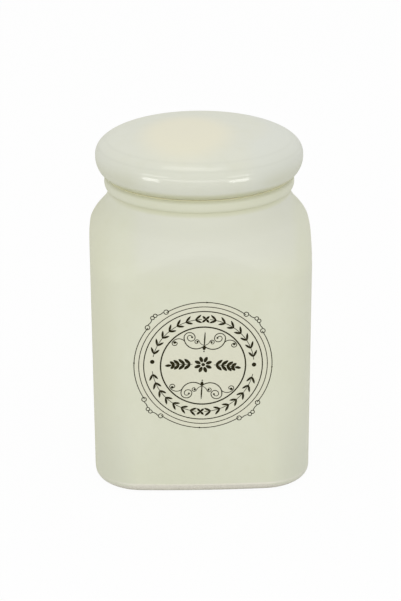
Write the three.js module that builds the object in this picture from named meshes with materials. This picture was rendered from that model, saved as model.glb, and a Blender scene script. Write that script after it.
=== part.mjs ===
// A kitchen storage jar of glazed stoneware: a square body with a round neck, a domed lid that
// lifts off, and a soft sealing ring round the lid's plug.
// Millimetres, Z up. The origin is the middle of the foot, and the front of the jar looks along -Y.
import * as THREE from "three";

// Jar: body
const body_width = 110; // across the middles of two sides
const side_bow_radius = 546; // of each side's gentle bow, seen from above
const corner_radius = 24.3; // of the four upright corners
const base_edge_radius = 4.8; // between the sides and the foot
const wall = 5;
const floor_thickness = 5.4;
const floor_fillet_radius = 8; // inside, between the floor and the sides

// Jar: foot, a flat bare rim round a shallow recess
const foot_width = 5;
const foot_recess_depth = 1.6;

// Jar: shoulder, which takes the square body into the round neck
const neck_height = 143.3; // of the crease under the collar
const neck_radius = 45.4;
const side_shoulder_height = 20.8; // above the middle of a side
const corner_shoulder_height = 33.4; // above a corner, where the shoulder has more to take in
const round_drop = 13.5; // from the crease down to where the shoulder has become round
const side_wall_pull_share = 0.535; // how far the shoulder keeps on upright above a side
const side_neck_pull_share = 0.46; // and how far it comes in upright under the neck
const corner_wall_pull_share = 0.41; // how far it keeps on upright above a corner
const corner_round_pull_share = 0.4; // and how far it comes in along the round part

// Jar: collar, the bead round the neck, with a flat top that the lid rests on
const collar_height = 6.2;
const collar_bulge = 1.8;
const lip_edge_radius = 1.2; // inside, between the flat top and the mouth

// Lid: rim and crown
const seat_gap = 0.3; // between the lid's seat and the collar's flat top
const lid_radius = 51.4;
const underside_height = 8.9; // of the rounding from the seat up to the widest part
const underside_width = 8.1;
const rim_band_height = 1.4; // of the upright band at the widest part
const crown_height = 14.4; // from that band to the top
const crown_flat_exponent = 2.64; // 2 is an ellipse; more makes the crown flatter in the middle
const crown_edge_exponent = 2.46; // and the rim fuller at the edge

// Lid: plug and the hollow inside it
const plug_depth = 14; // below the seat
const plug_clearance = 2; // between the plug and the mouth
const plug_wall = 5.4;
const plug_edge_radius = 1.2;
const hollow_arch_height = 11; // of the arched ceiling of the hollow
const crown_thickness = 6.5; // in the middle

// Lid: groove for the sealing ring
const groove_drop = 2.6; // from the seat down to the groove
const groove_height = 8;
const groove_depth = 2;

// Sealing ring: a band with soft fins that press on the mouth
const seal_seat_gap = 0.3; // between the band and the groove
const seal_bore_gap = 0.35; // between the fins and the mouth, at rest
const seal_band_thickness = 1.9;
const fin_root = 1.5;
const fin_tip = 0.7;
const fin_lean = 0.5; // the fins lean upwards, so that the lid goes in more easily than it comes out

// Counts: facets, steps and fins
const side_steps = 9; // along each side of the jar
const corner_steps = 10; // round each corner of the jar
const edge_steps = 5; // along a rounded edge
const small_edge_steps = 3;
const shoulder_steps = 12;
const collar_steps = 7;
const crown_steps = 14;
const arch_steps = 7;
const turn_steps = 60; // round the lid and the sealing ring
const curve_samples = 96;
const fin_count = 3;

// Places that follow from the sizes
const body_half = body_width / 2;
const mouth_radius = neck_radius - wall;
const lip_height = neck_height + collar_height;
const seat_height = lip_height + seat_gap;
const floor_height = foot_recess_depth + floor_thickness;
const plug_radius = mouth_radius - plug_clearance;
const crown_top = seat_height + underside_height + rim_band_height + crown_height;
const groove_top = seat_height - groove_drop;
const groove_bottom = groove_top - groove_height;
const quarter = Math.PI / 2;

/** Evenly spaced values from one number to another, both included. */
function spread(from, to, steps) {
  return Array.from({ length: steps + 1 }, (_, i) => THREE.MathUtils.lerp(from, to, i / steps));
}

/** How far the centre of a corner's arc is from both middle planes, in a square with bowed sides. */
function cornerCentre(half, radius, bow) {
  const away = half - bow;
  const between = bow - radius;
  return (away + Math.sqrt(2 * between * between - away * away)) / 2;
}

/** The angle from a side's middle, seen from the axis, at which its bow meets the corner's arc. */
function sideEnd(half, radius, bow) {
  const away = half - bow;
  const centre = cornerCentre(half, radius, bow);
  const share = bow / (bow - radius);
  return Math.atan2(centre * share, away + (centre - away) * share);
}

/** Directions, seen from above, in which every section of the jar has its points. */
function sectionAngles() {
  const end = sideEnd(body_half, corner_radius, side_bow_radius);
  const angles = [];
  for (let side = 0; side < 4; side += 1) {
    const middle = side * quarter;
    angles.push(...spread(middle - end, middle + end, side_steps).slice(0, -1));
    angles.push(...spread(middle + end, middle + quarter - end, corner_steps).slice(0, -1));
  }
  return angles;
}

/** Distance from the axis to the edge of a square with bowed sides and rounded corners. */
function reach(half, radius, bow, angle) {
  const along = Math.max(Math.abs(Math.cos(angle)), Math.abs(Math.sin(angle)));
  const across = Math.min(Math.abs(Math.cos(angle)), Math.abs(Math.sin(angle)));
  if (Math.atan2(across, along) <= sideEnd(half, radius, bow)) {
    const away = half - bow;
    return away * along + Math.sqrt(bow * bow - away * away * across * across);
  }
  const centre = cornerCentre(half, radius, bow);
  const run = centre * (along + across);
  return run + Math.sqrt(run * run - 2 * centre * centre + radius * radius);
}

const angles = sectionAngles();

/** A section of the jar: a rounded square of points at one height. */
function section(height, half, radius, bow) {
  return angles.map((angle) => {
    const out = reach(half, radius, bow, angle);
    return new THREE.Vector3(out * Math.cos(angle), out * Math.sin(angle), height);
  });
}

/** A section of the body, drawn in from its outside by an inset. */
function bodySection(height, inset) {
  return section(height, body_half - inset, corner_radius - inset, side_bow_radius - inset);
}

/** A round section of the neck. */
function roundSection(height, radius) {
  return section(height, radius, radius, side_bow_radius);
}

/** Places along an outline from a share of its curve on, each with a copy one wall further in. */
function outlineOf(curve, start) {
  return spread(start, 1, curve_samples).map((t) => {
    const outside = curve.getPoint(t);
    const along = curve.getTangent(t);
    const inward = new THREE.Vector2(-along.y, along.x);
    return { outside, inside: outside.clone().addScaledVector(inward, wall) };
  });
}

/** The shoulder's outlines over a side and over a corner, which meet where it becomes round. */
function shoulderOutlines() {
  const sideFoot = neck_height - side_shoulder_height;
  const sideCurve = new THREE.CubicBezierCurve(
    new THREE.Vector2(body_half, sideFoot),
    new THREE.Vector2(body_half, sideFoot + side_shoulder_height * side_wall_pull_share),
    new THREE.Vector2(neck_radius, neck_height - side_shoulder_height * side_neck_pull_share),
    new THREE.Vector2(neck_radius, neck_height),
  );
  const isRound = (t) => sideCurve.getPoint(t).y >= neck_height - round_drop;
  const joint = spread(0, 1, curve_samples).find(isRound);
  const centre = cornerCentre(body_half, corner_radius, side_bow_radius);
  const cornerReach = centre * Math.SQRT2 + corner_radius;
  const cornerFoot = neck_height - corner_shoulder_height;
  const cornerRise = sideCurve.getPoint(joint).y - cornerFoot;
  const backwards = sideCurve.getTangent(joint).multiplyScalar(-cornerRise);
  const cornerCurve = new THREE.CubicBezierCurve(
    new THREE.Vector2(cornerReach, cornerFoot),
    new THREE.Vector2(cornerReach, cornerFoot + cornerRise * corner_wall_pull_share),
    sideCurve.getPoint(joint).addScaledVector(backwards, corner_round_pull_share),
    sideCurve.getPoint(joint),
  );
  return {
    side: outlineOf(sideCurve, 0),
    corner: [...outlineOf(cornerCurve, 0), ...outlineOf(sideCurve, joint).slice(1)],
  };
}

/** How far out one face of an outline is at a height; past its ends it goes on upright. */
function reachAt(outline, face, height) {
  const next = outline.findIndex((place) => place[face].y >= height);
  if (next === 0) {
    return outline[0][face].x;
  }
  if (next < 0) {
    return outline[outline.length - 1][face].x;
  }
  const [low, high] = [outline[next - 1][face], outline[next][face]];
  return THREE.MathUtils.mapLinear(height, low.y, high.y, low.x, high.x);
}

/** The corner radius that gives a section its reach over a side and over a corner. */
function radiusFor(half, diagonal, bow) {
  const away = half - bow;
  const over = diagonal * (diagonal - away * Math.SQRT2) + away * away - bow * bow;
  return over / (2 * diagonal - away * Math.SQRT2 - 2 * bow);
}

/** A section through the outside or the inside face of the shoulder. */
function shoulderSection(outlines, face, height) {
  const half = reachAt(outlines.side, face, height);
  const diagonal = reachAt(outlines.corner, face, height);
  const bow = face === "inside" ? side_bow_radius - wall : side_bow_radius;
  return section(height, half, Math.min(radiusFor(half, diagonal, bow), half), bow);
}

/** One closed skin through a row of sections, from a point on the axis to another. */
function skin(first, sections, last) {
  const count = angles.length;
  const positions = [first, ...sections.flat(), last].flatMap((place) => place.toArray());
  const end = positions.length / 3 - 1;
  const index = [];
  for (let i = 0; i < count; i += 1) {
    const next = (i + 1) % count;
    index.push(0, 1 + next, 1 + i);
    for (let row = 0; row < sections.length - 1; row += 1) {
      const low = 1 + row * count;
      const high = low + count;
      index.push(low + i, low + next, high + next);
      index.push(low + i, high + next, high + i);
    }
    const top = 1 + (sections.length - 1) * count;
    index.push(top + i, top + next, end);
  }
  const geometry = new THREE.BufferGeometry();
  geometry.setAttribute("position", new THREE.Float32BufferAttribute(positions, 3));
  geometry.setIndex(index);
  geometry.computeVertexNormals();
  return geometry;
}

/** The jar: recess, foot, sides, shoulder, collar, lip, then down the inside to the floor. */
function jarGeometry() {
  const outlines = shoulderOutlines();
  const shoulderFoot = neck_height - Math.max(side_shoulder_height, corner_shoulder_height);
  const rows = [];
  for (const turn of spread(quarter, 0, small_edge_steps)) {
    const inset = base_edge_radius + foot_width + foot_recess_depth * Math.sin(turn);
    rows.push(bodySection(foot_recess_depth * (1 - Math.cos(turn)), inset));
  }
  for (const turn of spread(0, quarter, edge_steps)) {
    const inset = base_edge_radius * (1 - Math.sin(turn));
    rows.push(bodySection(base_edge_radius * (1 - Math.cos(turn)), inset));
  }
  for (const height of spread(shoulderFoot, neck_height, shoulder_steps)) {
    rows.push(shoulderSection(outlines, "outside", height));
  }
  for (const turn of spread(-quarter, quarter, collar_steps).slice(1)) {
    const height = neck_height + (collar_height / 2) * (1 + Math.sin(turn));
    rows.push(roundSection(height, neck_radius + collar_bulge * Math.cos(turn)));
  }
  for (const turn of spread(quarter, 0, small_edge_steps)) {
    const height = lip_height - lip_edge_radius * (1 - Math.sin(turn));
    rows.push(roundSection(height, mouth_radius + lip_edge_radius * (1 - Math.cos(turn))));
  }
  for (const height of spread(neck_height, shoulderFoot, shoulder_steps)) {
    rows.push(shoulderSection(outlines, "inside", height));
  }
  for (const turn of spread(0, quarter, edge_steps)) {
    const height = floor_height + floor_fillet_radius * (1 - Math.sin(turn));
    rows.push(bodySection(height, wall + floor_fillet_radius * (1 - Math.cos(turn))));
  }
  const under = new THREE.Vector3(0, 0, foot_recess_depth);
  const inside = new THREE.Vector3(0, 0, floor_height);
  return skin(under, rows, inside);
}

/** A quarter of an ellipse as profile points, both ends included. */
function quarterArc(centre, reachRadius, heightRadius, from, to, steps) {
  const clockwise = to < from;
  const curve = new THREE.EllipseCurve(
    centre.x,
    centre.y,
    reachRadius,
    heightRadius,
    from,
    to,
    clockwise,
  );
  return curve.getPoints(steps);
}

/** A dome's profile from its edge to the axis: flat in the middle and full at the edge. */
function domeArc(edge, radius, rise, steps) {
  return spread(0, quarter, steps).map((turn) => {
    const out = Math.max(Math.cos(turn), 0) ** (2 / crown_flat_exponent);
    const up = Math.sin(turn) ** (2 / crown_edge_exponent);
    return new THREE.Vector2(radius * out, edge + rise * up);
  });
}

/** A solid of revolution about the Z axis. */
function revolved(profile) {
  const geometry = new THREE.LatheGeometry(profile, turn_steps);
  geometry.rotateX(quarter);
  return geometry;
}

/** The lid: hollow, plug with its groove, seat, rounded rim and crown. */
function lidGeometry() {
  const plugBottom = seat_height - plug_depth;
  const hollowRadius = plug_radius - plug_wall;
  const ceiling = crown_top - crown_thickness;
  const archFoot = ceiling - hollow_arch_height;
  const edgeHeight = plugBottom + plug_edge_radius;
  const seatReach = lid_radius - underside_width;
  const rimLow = seat_height + underside_height;
  const rimHigh = rimLow + rim_band_height;
  const innerEdge = new THREE.Vector2(hollowRadius + plug_edge_radius, edgeHeight);
  const outerEdge = new THREE.Vector2(plug_radius - plug_edge_radius, edgeHeight);
  const rimCentre = new THREE.Vector2(seatReach, rimLow);
  const grooveFloor = plug_radius - groove_depth;
  const profile = [
    ...domeArc(archFoot, hollowRadius, hollow_arch_height, arch_steps).reverse(),
    ...quarterArc(
      innerEdge,
      plug_edge_radius,
      plug_edge_radius,
      Math.PI,
      Math.PI + quarter,
      small_edge_steps,
    ),
    ...quarterArc(
      outerEdge,
      plug_edge_radius,
      plug_edge_radius,
      -quarter,
      0,
      small_edge_steps,
    ),
    new THREE.Vector2(plug_radius, groove_bottom),
    new THREE.Vector2(grooveFloor, groove_bottom),
    new THREE.Vector2(grooveFloor, groove_top),
    new THREE.Vector2(plug_radius, groove_top),
    new THREE.Vector2(plug_radius, seat_height),
    ...quarterArc(rimCentre, underside_width, underside_height, -quarter, 0, edge_steps + 1),
    ...domeArc(rimHigh, lid_radius, crown_height, crown_steps),
  ];
  return revolved(profile);
}

/** The sealing ring: a band in the groove with fins on its outside. */
function sealGeometry() {
  const inner = plug_radius - groove_depth + seal_seat_gap;
  const outer = inner + seal_band_thickness;
  const low = groove_bottom + seal_seat_gap;
  const high = groove_top - seal_seat_gap;
  const tip = mouth_radius - seal_bore_gap;
  const pitch = (high - low) / fin_count;
  const profile = [new THREE.Vector2(inner, low), new THREE.Vector2(outer, low)];
  for (let fin = 0; fin < fin_count; fin += 1) {
    const middle = low + pitch * (fin + 1 / 2);
    profile.push(new THREE.Vector2(outer, middle - fin_root / 2));
    profile.push(new THREE.Vector2(tip, middle + fin_lean - fin_tip / 2));
    profile.push(new THREE.Vector2(tip, middle + fin_lean + fin_tip / 2));
    profile.push(new THREE.Vector2(outer, middle + fin_root / 2));
  }
  profile.push(new THREE.Vector2(outer, high), new THREE.Vector2(inner, high));
  profile.push(new THREE.Vector2(inner, low));
  return revolved(profile);
}

const creamGlaze = new THREE.MeshStandardMaterial({ color: 0xe3e3cf, roughness: 0.16, metalness: 0 });
const paleGlaze = new THREE.MeshStandardMaterial({ color: 0xe6e6da, roughness: 0.12, metalness: 0 });
const silicone = new THREE.MeshStandardMaterial({ color: 0xf1efe8, roughness: 0.55, metalness: 0 });

/** A named mesh of the canister. */
function piece(name, geometry, material) {
  const mesh = new THREE.Mesh(geometry, material);
  mesh.name = name;
  return mesh;
}

const canister = new THREE.Group();
canister.name = "canister";
canister.add(piece("jar", jarGeometry(), creamGlaze));

const lidGroup = new THREE.Group();
lidGroup.name = "lid_group";
lidGroup.add(piece("lid", lidGeometry(), paleGlaze));
lidGroup.add(piece("seal_ring", sealGeometry(), silicone));
canister.add(lidGroup);

export default canister;
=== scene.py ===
"""Looks of a square glazed storage jar with a domed lid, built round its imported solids.

Metres, Z up, the front of the jar along -Y. The jar, the lid and the sealing ring are modelled
again, more finely than their solids and at their sizes, but with the seam under the lid all but
closed. The badge on the front is fired ink.
"""

import logging
import math
from collections.abc import Iterable, Mapping, Sequence
from dataclasses import dataclass
from enum import Enum

import bmesh
import bpy
from mathutils import Matrix, Vector
from mathutils.geometry import interpolate_bezier


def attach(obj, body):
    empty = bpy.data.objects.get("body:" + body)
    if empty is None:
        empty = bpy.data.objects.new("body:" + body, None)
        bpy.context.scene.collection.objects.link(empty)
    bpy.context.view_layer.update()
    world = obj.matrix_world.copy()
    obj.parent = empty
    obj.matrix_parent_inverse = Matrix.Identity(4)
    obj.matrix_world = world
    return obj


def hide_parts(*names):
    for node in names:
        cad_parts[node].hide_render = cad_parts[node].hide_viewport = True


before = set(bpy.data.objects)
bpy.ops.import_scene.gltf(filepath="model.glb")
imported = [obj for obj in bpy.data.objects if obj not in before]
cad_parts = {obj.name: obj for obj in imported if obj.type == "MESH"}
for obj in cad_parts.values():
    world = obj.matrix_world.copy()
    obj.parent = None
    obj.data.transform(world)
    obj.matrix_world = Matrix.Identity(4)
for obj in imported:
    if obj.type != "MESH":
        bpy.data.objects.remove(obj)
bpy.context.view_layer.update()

log = logging.getLogger("canister")

MM = 0.001
QUARTER = math.pi / 2
FULL = math.pi * 2
MERGE_DISTANCE = 1e-7
SHARP_ANGLE = math.radians(50)

Colour = tuple[float, float, float]
Place = tuple[float, float]


class Part(Enum):
    """The bodies of the frame, which share their names with its nodes."""

    JAR = "jar"
    LID = "lid"
    SEAL = "seal_ring"


class Slot(Enum):
    """The record's material slots."""

    JAR_GLAZE = "cream_glaze"
    LID_GLAZE = "lid_glaze"
    SILICONE = "silicone"


class Face(Enum):
    """The two faces of the jar's wall."""

    OUTSIDE = "outside"
    INSIDE = "inside"


def spread(start: float, end: float, steps: int) -> list[float]:
    """Returns evenly spaced values from start to end, both included.

    Args:
        start: The first value.
        end: The last value.
        steps: How many steps lie between them.

    Returns:
        The values, one more than the steps.
    """
    return [start + (end - start) * i / steps for i in range(steps + 1)]


# ---------------------------------------------------------------------------------------------
# Shader building
# ---------------------------------------------------------------------------------------------


class Value:
    """A number in a node tree, on which the usual operators add Math nodes."""

    def __init__(self, graph: "Graph", socket: bpy.types.NodeSocket) -> None:
        """Wraps one output socket of a graph."""
        self.graph = graph
        self.socket = socket

    def __add__(self, other: "Value | float") -> "Value":
        """Adds."""
        return self.graph.maths("ADD", self, other)

    def __radd__(self, other: float) -> "Value":
        """Adds, with the number first."""
        return self.graph.maths("ADD", other, self)

    def __sub__(self, other: "Value | float") -> "Value":
        """Subtracts."""
        return self.graph.maths("SUBTRACT", self, other)

    def __rsub__(self, other: float) -> "Value":
        """Subtracts from a number."""
        return self.graph.maths("SUBTRACT", other, self)

    def __mul__(self, other: "Value | float") -> "Value":
        """Multiplies."""
        return self.graph.maths("MULTIPLY", self, other)

    def __rmul__(self, other: float) -> "Value":
        """Multiplies, with the number first."""
        return self.graph.maths("MULTIPLY", other, self)

    def __truediv__(self, other: "Value | float") -> "Value":
        """Divides."""
        return self.graph.maths("DIVIDE", self, other)

    def __pow__(self, other: float) -> "Value":
        """Raises to a power."""
        return self.graph.maths("POWER", self, other)

    def __abs__(self) -> "Value":
        """Drops the sign."""
        return self.graph.maths("ABSOLUTE", self)

    def rising(self, low: float, high: float) -> "Value":
        """Returns a soft step that is 0 below low and 1 above high."""
        return self.graph.step(self, low, high)

    def bump_at(self, middle: float, width: float) -> "Value":
        """Returns a soft hump that is 1 at the middle and 0 a width away from it."""
        return 1.0 - abs(self - middle).rising(0.0, width)

    def within(self, low: float, low_fade: float, high: float, high_fade: float) -> "Value":
        """Returns a soft plateau, 1 between low and high but for a fade inside either end."""
        return self.rising(low, low + low_fade) * (1.0 - self.rising(high - high_fade, high))

    def length_with(self, other: "Value") -> "Value":
        """Returns the length of the vector that this and another value make."""
        return (self * self + other * other) ** 0.5


class Graph:
    """The node tree of a material or of the world."""

    def __init__(self, tree: bpy.types.NodeTree) -> None:
        """Empties a tree, to be filled anew."""
        self.tree = tree
        tree.nodes.clear()

    def node(
        self,
        kind: str,
        settings: Mapping[str, object] | None = None,
        inputs: Mapping[str, object] | None = None,
    ) -> bpy.types.Node:
        """Adds one node.

        Args:
            kind: The node's type name.
            settings: Its settings, which are applied first.
            inputs: Values or links for its sockets, by name or identifier.

        Returns:
            The node.
        """
        made = self.tree.nodes.new(kind)
        for name, value in (settings or {}).items():
            setattr(made, name, value)
        for name, value in (inputs or {}).items():
            socket = next(s for s in made.inputs if name in (s.identifier, s.name))
            if isinstance(value, Value):
                self.tree.links.new(value.socket, socket)
            elif isinstance(value, bpy.types.NodeSocket):
                self.tree.links.new(value, socket)
            else:
                socket.default_value = value
        return made

    def maths(self, operation: str, first: Value | float, second: Value | float = 0.0) -> Value:
        """Adds a Math node on one or two numbers and returns its result."""
        made = self.node(
            "ShaderNodeMath", {"operation": operation}, {"Value": first, "Value_001": second}
        )
        return Value(self, made.outputs[0])

    def step(self, value: Value, low: float, high: float) -> Value:
        """Adds a soft step from 0 at low to 1 at high and returns its result."""
        made = self.node(
            "ShaderNodeMapRange",
            {"interpolation_type": "SMOOTHSTEP"},
            {"Value": value, "From Min": low, "From Max": high},
        )
        return Value(self, made.outputs[0])

    def mix(
        self,
        share: Value,
        first: Colour | bpy.types.NodeSocket,
        second: Colour | bpy.types.NodeSocket,
    ) -> bpy.types.NodeSocket:
        """Blends two colours.

        Args:
            share: How much of the second colour shows.
            first: The colour, or its socket, at share 0.
            second: The colour, or its socket, at share 1.

        Returns:
            The blended colour's socket.
        """
        ends = [(*c, 1.0) if isinstance(c, tuple) else c for c in (first, second)]
        made = self.node(
            "ShaderNodeMix",
            {"data_type": "RGBA"},
            {"Factor_Float": share, "A_Color": ends[0], "B_Color": ends[1]},
        )
        return next(s for s in made.outputs if s.identifier == "Result_Color")

    def place(self) -> bpy.types.NodeSocket:
        """Returns the point on the object that is being shaded."""
        return self.node("ShaderNodeTexCoord").outputs["Object"]

    def split(self, vector: bpy.types.NodeSocket) -> list[Value]:
        """Returns the three parts of a vector."""
        made = self.node("ShaderNodeSeparateXYZ", inputs={"Vector": vector})
        return [Value(self, s) for s in made.outputs]

    def noise(self, place: bpy.types.NodeSocket, size: float, detail: float = 2.0) -> Value:
        """Returns a soft noise whose features are about as wide as a size."""
        made = self.node(
            "ShaderNodeTexNoise",
            inputs={"Vector": place, "Scale": 1.0 / size, "Detail": detail, "Roughness": 0.5},
        )
        return Value(self, made.outputs[0])

    def specks(self, place: bpy.types.NodeSocket, spacing: float, radius: float) -> Value:
        """Makes small round specks.

        Args:
            place: The point that is being shaded.
            spacing: About how far they are apart.
            radius: About how large they are.

        Returns:
            1 inside a speck, and 0 outside.
        """
        made = self.node(
            "ShaderNodeTexVoronoi", inputs={"Vector": place, "Scale": 1.0 / spacing}
        )
        reach = radius / spacing
        return 1.0 - Value(self, made.outputs["Distance"]).rising(reach / 2, reach)

    def aslant(self) -> Value:
        """Returns 0 where a surface is seen square on, up to 1 where it is seen edge on."""
        made = self.node("ShaderNodeLayerWeight", inputs={"Blend": 0.5})
        return Value(self, made.outputs["Facing"])

    def relief(self, height: Value) -> bpy.types.NodeSocket:
        """Returns the normal of a surface that is raised by a height in metres."""
        made = self.node(
            "ShaderNodeBump", inputs={"Strength": 1.0, "Distance": 1.0, "Height": height}
        )
        return made.outputs["Normal"]

    def blend(
        self, share: Value, first: bpy.types.Node, second: bpy.types.Node
    ) -> bpy.types.Node:
        """Blends two shaders.

        Args:
            share: How much of the second shader shows.
            first: The shader at share 0.
            second: The shader at share 1.

        Returns:
            The blend's node.
        """
        return self.node(
            "ShaderNodeMixShader",
            inputs={"Fac": share, "Shader": first.outputs[0], "Shader_001": second.outputs[0]},
        )


def new_material(name: str) -> tuple[bpy.types.Material, Graph]:
    """Makes an empty material.

    Args:
        name: Its name.

    Returns:
        The material and its graph.
    """
    material = bpy.data.materials.new(name)
    material.use_nodes = True
    return material, Graph(material.node_tree)


@dataclass(frozen=True)
class Finish:
    """A procedural material of one Principled surface, or of two where it is hazy seen aslant."""

    name: str
    refraction: float = 1.5
    haze: float | None = None
    haze_from: float = 0.4
    haze_to: float = 0.95

    def inputs(self, graph: Graph) -> dict[str, object]:
        """Returns the linked inputs, which each kind of finish makes in its own way."""
        raise NotImplementedError

    def material(self) -> bpy.types.Material:
        """Makes the finish's material.

        Returns:
            The material.
        """
        material, graph = new_material(self.name)
        inputs = {"IOR": self.refraction, **self.inputs(graph)}
        surface = graph.node("ShaderNodeBsdfPrincipled", inputs=inputs)
        if self.haze is not None:
            inputs["Roughness"] = self.haze
            hazy = graph.node("ShaderNodeBsdfPrincipled", inputs=inputs)
            share = graph.aslant().rising(self.haze_from, self.haze_to)
            surface = graph.blend(share, surface, hazy)
        graph.node("ShaderNodeOutputMaterial", inputs={"Surface": surface.outputs[0]})
        return material


@dataclass(frozen=True)
class Tint:
    """A stretch of a glaze whose colour is its own tone, or painted shade, light or reflection."""

    tone: Colour

    def share(self, x: Value, y: Value, z: Value) -> Value:
        """Returns how much of the tone shows at a place, which each kind of tint says itself."""
        raise NotImplementedError


@dataclass(frozen=True)
class LevelBand(Tint):
    """A level band, strongest at its middle height.

    It fades in at a distance from the piece's middle plane. As given, it is there all along.
    """

    middle: float
    width: float
    strength: float
    beyond: float = -14 * MM
    fade: float = 14 * MM

    def share(self, x: Value, y: Value, z: Value) -> Value:
        """Returns how much of the tone shows at a place."""
        along = abs(x).rising(self.beyond, self.beyond + self.fade)
        return z.bump_at(self.middle, self.width) * self.strength * along


@dataclass(frozen=True)
class FlankShade(Tint):
    """Painted shade in an upright band, strongest at a place across."""

    middle: float
    width: float
    strength: float

    def share(self, x: Value, y: Value, z: Value) -> Value:
        """Returns how much of the tone shows at a place."""
        return x.bump_at(self.middle, self.width) * self.strength


@dataclass(frozen=True)
class Patch(Tint):
    """A patch between two heights and two places across, which fades out at its edges."""

    bottom: float
    top: float
    left: float
    right: float = 1.0
    bottom_fade: float = 16 * MM
    top_fade: float = 2 * MM
    left_fade: float = 11 * MM
    right_fade: float = 8 * MM

    def share(self, x: Value, y: Value, z: Value) -> Value:
        """Returns how much of the tone shows at a place."""
        rows = z.within(self.bottom, self.bottom_fade, self.top, self.top_fade)
        return rows * x.within(self.left, self.left_fade, self.right, self.right_fade)


@dataclass(frozen=True)
class Bloom(Tint):
    """A soft oval, seen from above, that is longer from front to back."""

    middle: Place
    reach: float
    stretch: float = 1.35
    inner_share: float = 0.6
    outer_share: float = 1.3

    def share(self, x: Value, y: Value, z: Value) -> Value:
        """Returns how much of the tone shows at a place."""
        out = (x - self.middle[0]).length_with((y - self.middle[1]) / self.stretch)
        return 1.0 - out.rising(self.reach * self.inner_share, self.reach * self.outer_share)


@dataclass(frozen=True)
class CornerShade(Tint):
    """Painted shade on the upright corners of a square piece, strongest low down."""

    reach: float
    strength: float = 0.5
    fade: float = 8 * MM
    low: float = 5 * MM
    high: float = 60 * MM

    def share(self, x: Value, y: Value, z: Value) -> Value:
        """Returns how much of the tone shows at a place."""
        corner = (abs(x) + abs(y)).rising(self.reach - self.fade, self.reach)
        return corner * (1.0 - z.rising(self.low, self.high)) * self.strength


@dataclass(frozen=True)
class Ground(Tint):
    """The round ground of the badge, on the front alone."""

    height: float
    reach: float
    strength: float = 0.55
    edge_share: float = 0.97
    front_from: float = -50 * MM
    front_to: float = -45 * MM

    def share(self, x: Value, y: Value, z: Value) -> Value:
        """Returns how much of the tone shows at a place."""
        out = x.length_with(z - self.height).rising(self.reach * self.edge_share, self.reach)
        return (1.0 - out) * (1.0 - y.rising(self.front_from, self.front_to)) * self.strength


@dataclass(frozen=True)
class FootShadow(Tint):
    """Painted contact shadow along the edge that a piece stands on."""

    strength: float = 0.8
    low: float = 0.5 * MM
    high: float = 2.8 * MM

    def share(self, x: Value, y: Value, z: Value) -> Value:
        """Returns how much of the tone shows at a place."""
        return (1.0 - z.rising(self.low, self.high)) * self.strength


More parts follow.
